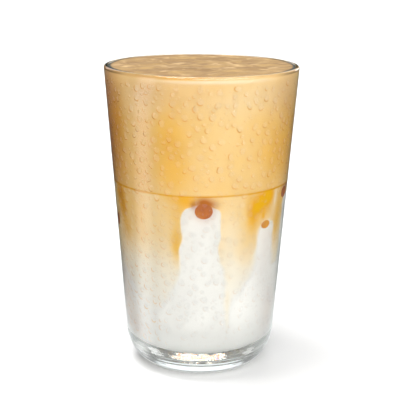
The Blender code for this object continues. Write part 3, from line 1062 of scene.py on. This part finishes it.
# %% Foam
CRUST_STEPS = ((0.30, "#7C603A"), (0.46, "#8B6E47"), (0.56, "#977A4D"), (0.70, "#A58656"))
CRUST_CLOUD, FLECK_SIZE, BUBBLE_SIZE = 0.011, 0.0062, 0.0007  # metres across
FLECK = "#C3A57A"
FLECK_RANGE = {"From Min": 0.55, "From Max": 0.74, "To Max": 0.7}
PAINTED_REFLECTION_DARK = "#10272E"
foam_finish, foam_tree, foam_shader = new_material("whipped_coffee_foam")
foam_place = add(foam_tree, "TexCoord").outputs["Object"]
dark, ring, on_top = (
    add(foam_tree, "Attribute", {"attribute_name": name}).outputs["Fac"]
    for name in ("dark", "ring", "crust")
)
cloud = add(foam_tree, "TexNoise", inputs={
    "Vector": foam_place, "Scale": 1 / CRUST_CLOUD, "Detail": 4.0, "Roughness": 0.6, "Distortion": 1.2,
})
crust = add(foam_tree, "ValToRGB", {"stops": CRUST_STEPS}, {"Fac": cloud.outputs["Fac"]})
spots = add(foam_tree, "TexNoise", inputs={
    "Vector": foam_place, "Scale": 1 / FLECK_SIZE, "Detail": 2.0, "Roughness": 0.5, "Distortion": 0.3,
})
flecks = add(foam_tree, "MapRange", {"interpolation_type": "SMOOTHSTEP"}, {
    "Value": spots.outputs["Fac"], **FLECK_RANGE,
})
side_colour = layered(foam_tree, drink_colour(foam_tree, foam_place, FOAM_SWIRL), (dark, PAINTED_REFLECTION_DARK))
top_layers = (flecks.outputs["Result"], FLECK), (ring, PAINTED_REFLECTION_DARK)
top_colour = layered(foam_tree, crust.outputs["Color"], *top_layers)
bubbles = add(foam_tree, "TexNoise", inputs={
    "Vector": foam_place, "Scale": 1 / BUBBLE_SIZE, "Detail": 2.0,
})
grain = add(foam_tree, "Bump", inputs={
    "Height": bubbles.outputs["Fac"], "Strength": 0.25, "Distance": 0.0002,
})
feed(foam_tree, foam_shader, {
    "Base Color": layered(foam_tree, side_colour, (on_top, top_colour)),
    "Normal": grain.outputs["Normal"], "Roughness": 0.6, "Specular IOR Level": 0.12,
})
set_finish(foam_body, foam_finish)

# %% [markdown]
# ## The beads' finish
#
# Strong coffee hardly scatters light, so a thin drop is amber and a thick one brown.
# Each bead has its own brown, stored on its points, and noise of a few millimetres
# makes it uneven, as coffee is that has begun to mix.

# %% Coffee beads
BEAD_STEPS = ((0.0, "#E09C34"), (0.5, "#BC640C"), (1.0, "#7E3402"))
BEAD_CLOUDS = 260.0  # for each metre
BEAD_VARIES = 0.15
bead_finish, bead_tree, bead_shader = new_material("strong_coffee")
bead_place = add(bead_tree, "TexCoord").outputs["Object"]
bead_cloud = add(bead_tree, "TexNoise", inputs={"Vector": bead_place, "Scale": BEAD_CLOUDS})
paler = add(bead_tree, "MapRange", inputs={
    "Value": bead_cloud.outputs["Fac"], **NOISE_RANGE, "To Min": BEAD_VARIES, "To Max": -BEAD_VARIES,
})
brown = add(bead_tree, "Attribute", {"attribute_name": "brown"}).outputs["Fac"]
total = add(bead_tree, "Math", {"operation": "ADD"}, {0: brown, 1: paler.outputs["Result"]})
bead_colour = add(bead_tree, "ValToRGB", {"stops": BEAD_STEPS}, {"Fac": total.outputs["Value"]})
feed(bead_tree, bead_shader, {"Base Color": bead_colour.outputs["Color"], "Roughness": 0.3})
for bead in beads:
    set_finish(bead, bead_finish)

# %% [markdown]
# ## The sheet
#
# The drink stands on a white sheet, which goes on to the horizon. The sheet does not
# show in mirror images: what the glass mirrors from below is worked out further down,
# as light, because that is where the sparkle of a real foot comes from.

# %% Floor
FLOOR_HALF = 120.0
corners = [(x * FLOOR_HALF, y * FLOOR_HALF, 0) for x, y in ((-1, -1), (1, -1), (1, 1), (-1, 1))]
floor_mesh = bpy.data.meshes.new("floor")
floor_mesh.from_pydata(corners, [], [(0, 1, 2, 3)])
floor = bpy.data.objects.new("floor", floor_mesh)
bpy.context.scene.collection.objects.link(floor)
floor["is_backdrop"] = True
floor.visible_glossy = False
paper, paper_tree, paper_shader = new_material("white_paper")
feed(paper_tree, paper_shader, {"Base Color": "#D6D6D6", "Roughness": 0.9, "Specular IOR Level": 0.2})
set_finish(floor, paper)

# %% [markdown]
# ## Light from above
#
# Glass shows the room, bent and mirrored, so all the light is one smooth pattern round
# the scene. Lamps as objects would do for the drink, but their hard edges would show in
# the wall. A soft box hangs overhead and leans left, so the short shadow falls to the
# right. A second lamp hangs behind it, a broad one at the front right fills the drink,
# and a weak one fills its left. A low lamp behind on the right and a pale backdrop put a
# streak and a pale band into the foot. The room is dim, warm above and petrol below, and
# draws the thin dark lines at the edges of the glass.

# %% Lamps and backdrop
# towards x, y, z; cosine where the lamp starts; cosine where it is full; light
LAMPS = (
    ((-0.27, 0.0, 0.96), 0.945, 0.99, 14.0),
    ((0.0, 0.62, 0.79), 0.93, 0.99, 3.7),
    ((0.26, -0.93, 0.24), 0.52, 0.95, 5.6),
    ((-0.56, -0.80, 0.18), 0.60, 0.98, 0.36),
    ((0.46, 0.88, 0.06), 0.974, 0.99, 3.4),
)
BACKDROP_LIGHT = 1.22
# steps: where each starts and where it is full; for heights, sines of the elevation
BACKDROP_RISE, BACKDROP_TOP, BACKDROP_SIDES = (0.16, 0.24), (0.50, 0.42), (0.78, 0.86)
ABOVE_SHEET = (-0.02, 0.04)
world = bpy.data.worlds.new("studio")
bpy.context.scene.world = world
world.use_nodes = True
sky = world.node_tree
direction = add(sky, "TexCoord").outputs["Generated"]
sideways, backwards, upwards = add(sky, "SeparateXYZ", inputs={"Vector": direction}).outputs


def patch(light, *steps):
    """Light with soft edges: the light times an S-shaped step of each value.

    A step is a value, where it starts and where it is full. It falls if it starts higher.
    """
    for value, start, full in steps:
        inputs = {"Value": value, "From Min": start, "From Max": full, "To Max": light}
        step = add(sky, "MapRange", {"interpolation_type": "SMOOTHSTEP"}, inputs)
        light = step.outputs["Result"]
    return light


def cosine_to(towards):
    """Cosine of the angle between a direction and the one that is looked in."""
    inputs = {0: direction, 1: Vector(towards).normalized()}
    return add(sky, "VectorMath", {"operation": "DOT_PRODUCT"}, inputs).outputs["Value"]


lights = [
    patch(light, (cosine_to(towards), start, full), (upwards, *ABOVE_SHEET))
    for towards, start, full, light in LAMPS
]
backdrop_height = (upwards, *BACKDROP_RISE), (upwards, *BACKDROP_TOP)
lights.append(patch(BACKDROP_LIGHT, *backdrop_height, (backwards, *BACKDROP_SIDES)))
print(len(lights), "patches of light above the sheet")

# %% [markdown]
# ## Light that only the glass mirrors
#
# The lower half of the pattern lights nothing, for the sheet is in its way. It shows in
# the glass alone, and holds what a foot mirrors: a strip lamp on the left, which is the
# long soft streak on the wall; the sheet itself, below a line that is lower in front
# than behind; a white card at either side for the flanks of the foot; and glints where
# light comes up past the front of the sheet, broken up and faintly coloured.

# %% Strip lamp, image of the sheet and cards
STRIP_SIDE = (0.367, -0.530, -0.765)  # the strip lies along the plane square to this
STRIP_LIGHT = 2.1
STRIP_WIDTH, STRIP_LEFT, STRIP_LOW = (0.21, 0.03), (-0.3, -0.6), (0.02, -0.05)
SHEET_LIGHT = 1.0
SHEET_SLOPE, SHEET_EDGE = -0.12, (-0.43, -0.50)
CARD_TOP, CARD_BOTTOM = (-0.52, -0.58), (-0.76, -0.70)
# light, and the steps at the card's front and back and towards its side
CARDS = (
    (5.6, (-0.27, -0.20), (0.14, 0.06), (-0.3, -0.5)),
    (3.0, (-0.06, 0.0), (0.27, 0.20), (0.3, 0.5)),
)


def moved(value, by, times):
    """The value plus a number of times another one."""
    inputs = {0: by, 1: times, 2: value}
    return add(sky, "Math", {"operation": "MULTIPLY_ADD"}, inputs).outputs["Value"]


def without_sign(value):
    """The value, or its opposite where it is below 0."""
    return add(sky, "Math", {"operation": "ABSOLUTE"}, {0: value}).outputs["Value"]


off_plane = without_sign(cosine_to(STRIP_SIDE))
strip_steps = (off_plane, *STRIP_WIDTH), (sideways, *STRIP_LEFT), (upwards, *STRIP_LOW)
lights.append(patch(STRIP_LIGHT, *strip_steps))
lights.append(patch(SHEET_LIGHT, (moved(upwards, backwards, SHEET_SLOPE), *SHEET_EDGE)))
for light, front, back, side in CARDS:
    card_steps = (backwards, *front), (backwards, *back), (sideways, *side)
    lights.append(patch(light, *card_steps, (upwards, *CARD_TOP), (upwards, *CARD_BOTTOM)))

# %% Glints, and all the light together
ROOM_ABOVE = (0.060, 0.057, 0.052, 1.0)  # dim warm ceiling and walls, in linear light
ROOM_BELOW = (0.028, 0.058, 0.066, 1.0)  # petrol floor beyond the sheet
ROOM_TURN = (0.10, 0.20)
GLINT_LIGHT = 20.0
GLINT_BOTTOM, GLINT_TOP = (-0.90, -0.86), (-0.58, -0.62)
GLINT_BACK, GLINT_SIDES = (-0.30, -0.40), (0.53, 0.45)
RAGGED_UP, RAGGED_ASIDE = 0.30, 0.8  # how far the noise moves the glints' edges
GLINT_COLOURS = (
    (0.34, "#2E4A55"), (0.41, "#FFFFFF"), (0.47, "#FFF4D8"), (0.53, "#FFFFFF"), (0.57, "#FFC05A"),
    (0.63, "#D97A20"), (0.69, "#9DB8FF"),
)
tears = add(sky, "TexNoise", inputs={"Vector": direction, "Scale": 7.0, "Detail": 2.0})
ragged = add(sky, "Math", {"operation": "SUBTRACT"}, {0: tears.outputs["Fac"], 1: 0.5})
depth = moved(upwards, ragged.outputs["Value"], RAGGED_UP)
aside = moved(without_sign(sideways), ragged.outputs["Value"], RAGGED_ASIDE)
glint_steps = (depth, *GLINT_BOTTOM), (depth, *GLINT_TOP), (backwards, *GLINT_BACK), (aside, *GLINT_SIDES)
facets = add(sky, "TexNoise", inputs={"Vector": direction, "Scale": 13.0, "Detail": 2.0})
colours = add(sky, "ValToRGB", {"stops": GLINT_COLOURS}, {"Fac": facets.outputs["Fac"]})
glints = add(sky, "VectorMath", {"operation": "SCALE"}, {
    0: colours.outputs["Color"], "Scale": patch(GLINT_LIGHT, *glint_steps),
})
lights.append(glints.outputs["Vector"])
room = {"Factor": patch(1.0, (upwards, *ROOM_TURN)), 6: ROOM_BELOW, 7: ROOM_ABOVE}
total = add(sky, "Mix", {"data_type": "RGBA"}, room).outputs[2]
for light in lights:
    total = add(sky, "VectorMath", {"operation": "ADD"}, {0: total, 1: light}).outputs["Vector"]
feed(sky, sky.nodes["Background"], {"Color": total, "Strength": 1.0})
print(len(lights), "patches of light in all")

# %% [markdown]
# ## The camera
#
# The camera looks slightly down on the drink, as the viewer of a menu does: the rim
# shows as a narrow ellipse. Its place was worked out from the outline of the glass. The
# picture shows plain light, without a film curve, so that a white sheet stays white.

# %% Camera
PICTURE_PIXELS = 400
SENSOR_MM = 36.0
FOCAL_PIXELS = 1030.0
CAMERA_AWAY, CAMERA_HEIGHT = 0.449, 0.190
CAMERA_PITCH = np.radians(14.5)  # downwards
CAMERA_ROLL = np.radians(0.45)
AXIS_PIXEL_X = 200.6  # where the glass's axis falls across the picture
camera_data = bpy.data.cameras.new("camera")
camera = bpy.data.objects.new("camera", camera_data)
bpy.context.scene.collection.objects.link(camera)
bpy.context.scene.camera = camera
camera_data.sensor_width = SENSOR_MM
camera_data.lens = FOCAL_PIXELS / PICTURE_PIXELS * SENSOR_MM
camera_data.shift_x = (PICTURE_PIXELS / 2 - AXIS_PIXEL_X) / PICTURE_PIXELS
camera_data.clip_start = 0.01
place = Matrix.Translation((0, -CAMERA_AWAY, CAMERA_HEIGHT))
pitched = Matrix.Rotation(np.pi / 2 - CAMERA_PITCH, 4, "X")
camera.matrix_world = place @ pitched @ Matrix.Rotation(CAMERA_ROLL, 4, "Z")
bpy.context.scene.view_settings.view_transform = "Standard"
print(f"lens {camera_data.lens:.1f} mm, {CAMERA_AWAY * 1000:.0f} mm in front of the glass")

# %% Print the dressed size beside the solids' size
dressed_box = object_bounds()
sizes = {
    "solids": [list(map(float, corner)) for corner in solid_box],
    "dressed": [list(map(float, corner)) for corner in dressed_box],
}
print(sizes)
